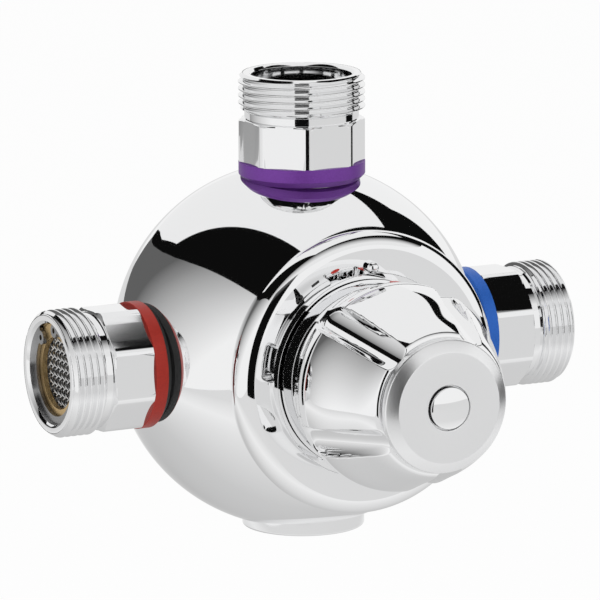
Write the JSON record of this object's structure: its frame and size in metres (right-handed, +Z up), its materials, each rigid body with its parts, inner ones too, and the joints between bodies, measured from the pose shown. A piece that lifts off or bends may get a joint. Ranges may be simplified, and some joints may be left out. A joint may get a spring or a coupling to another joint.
{
  "type": "thermostatic mixing valve",
  "caption": "Ball-bodied chrome thermostatic mixing valve with threaded hot, cold and mixed ports, colour-coded rings, strainers, a bottom plug and a fluted temperature knob.",
  "frame": {"origin": "centre of the bottom plug's flat face", "axes": "+Z up along the mixed outlet; hot inlet towards -X, cold inlet towards +X, knob towards -Y"},
  "size_m": [0.1852, 0.1723, 0.1526],
  "materials": {
    "body_chrome": "polished chrome plate",
    "front_chrome": "polished chrome plate",
    "union_chrome": "polished chrome plate",
    "knob_chrome": "polished chrome plate",
    "hot_red": "satin",
    "cold_blue": "satin",
    "mixed_purple": "satin",
    "mesh_steel": "woven stainless",
    "spring_steel": "oiled",
    "brass": "machined",
    "rubber": "matte",
    "dark_plastic": "moulded"
  },
  "bodies": {
    "valve": {"bonnet": "front_chrome", "bottom_plug": "union_chrome", "cartridge_end": "brass", "cartridge_seals": "rubber", "cartridge_sleeve": "brass", "cold_check_housing": "dark_plastic", "cold_check_spring": "spring_steel", "cold_circlip": "spring_steel", "cold_clamp_ring": "brass", "cold_filter": "mesh_steel", "cold_ring": "cold_blue", "cold_seal": "rubber", "cold_union": "union_chrome", "hot_check_housing": "dark_plastic", "hot_check_spring": "spring_steel", "hot_circlip": "spring_steel", "hot_clamp_ring": "brass", "hot_filter": "mesh_steel", "hot_ring": "hot_red", "hot_seal": "rubber", "hot_union": "union_chrome", "index_stud": "front_chrome", "limit_stop": "dark_plastic", "mixed_ring": "mixed_purple", "mixed_seal": "rubber", "mixed_union": "union_chrome", "plug_seal": "rubber", "return_spring": "spring_steel", "valve_body": "body_chrome"},
    "knob": {"knob": "knob_chrome", "knob_screw": "spring_steel", "knob_cap": "knob_chrome", "screw_cover": "knob_chrome", "spindle": "brass", "spindle_clip": "spring_steel", "spindle_seal": "rubber"},
    "regulator": {"regulating_nut": "brass", "overload_plunger": "brass", "overload_spring": "spring_steel", "element_piston": "spring_steel"},
    "spool": {"control_spool": "brass", "spool_seal": "rubber", "wax_element": "brass"},
    "hot_poppet": {"hot_check_poppet": "dark_plastic"},
    "cold_poppet": {"cold_check_poppet": "dark_plastic"}
  },
  "joints": [
    {"name": "knob_turn", "type": "hinge", "parent": "valve", "child": "knob", "pos_m": [0, 0, 0.06], "axis": [0, -1, 0], "range_deg": [-150, 120]},
    {"name": "regulator_slide", "type": "slide", "parent": "valve", "child": "regulator", "axis": [0, -1, 0], "range_m": [-0.00135, 0.00108], "deforming": ["return_spring"]},
    {"name": "spool_stroke", "type": "slide", "parent": "regulator", "child": "spool", "axis": [0, 1, 0], "range_m": [0, 0.0008], "stiffness_N_per_m": 2000, "springref_m": -0.002, "deforming": ["return_spring"]},
    {"name": "hot_poppet_slide", "type": "slide", "parent": "valve", "child": "hot_poppet", "axis": [1, 0, 0], "range_m": [0, 0.004], "stiffness_N_per_m": 150, "springref_m": -0.004, "deforming": ["hot_check_spring"]},
    {"name": "cold_poppet_slide", "type": "slide", "parent": "valve", "child": "cold_poppet", "axis": [-1, 0, 0], "range_m": [0, 0.004], "stiffness_N_per_m": 150, "springref_m": -0.004, "deforming": ["cold_check_spring"]}
  ],
  "couplings": [
    {"joint": "regulator_slide", "follows": "knob_turn", "m_per_rad": 0.0005093}
  ]
}
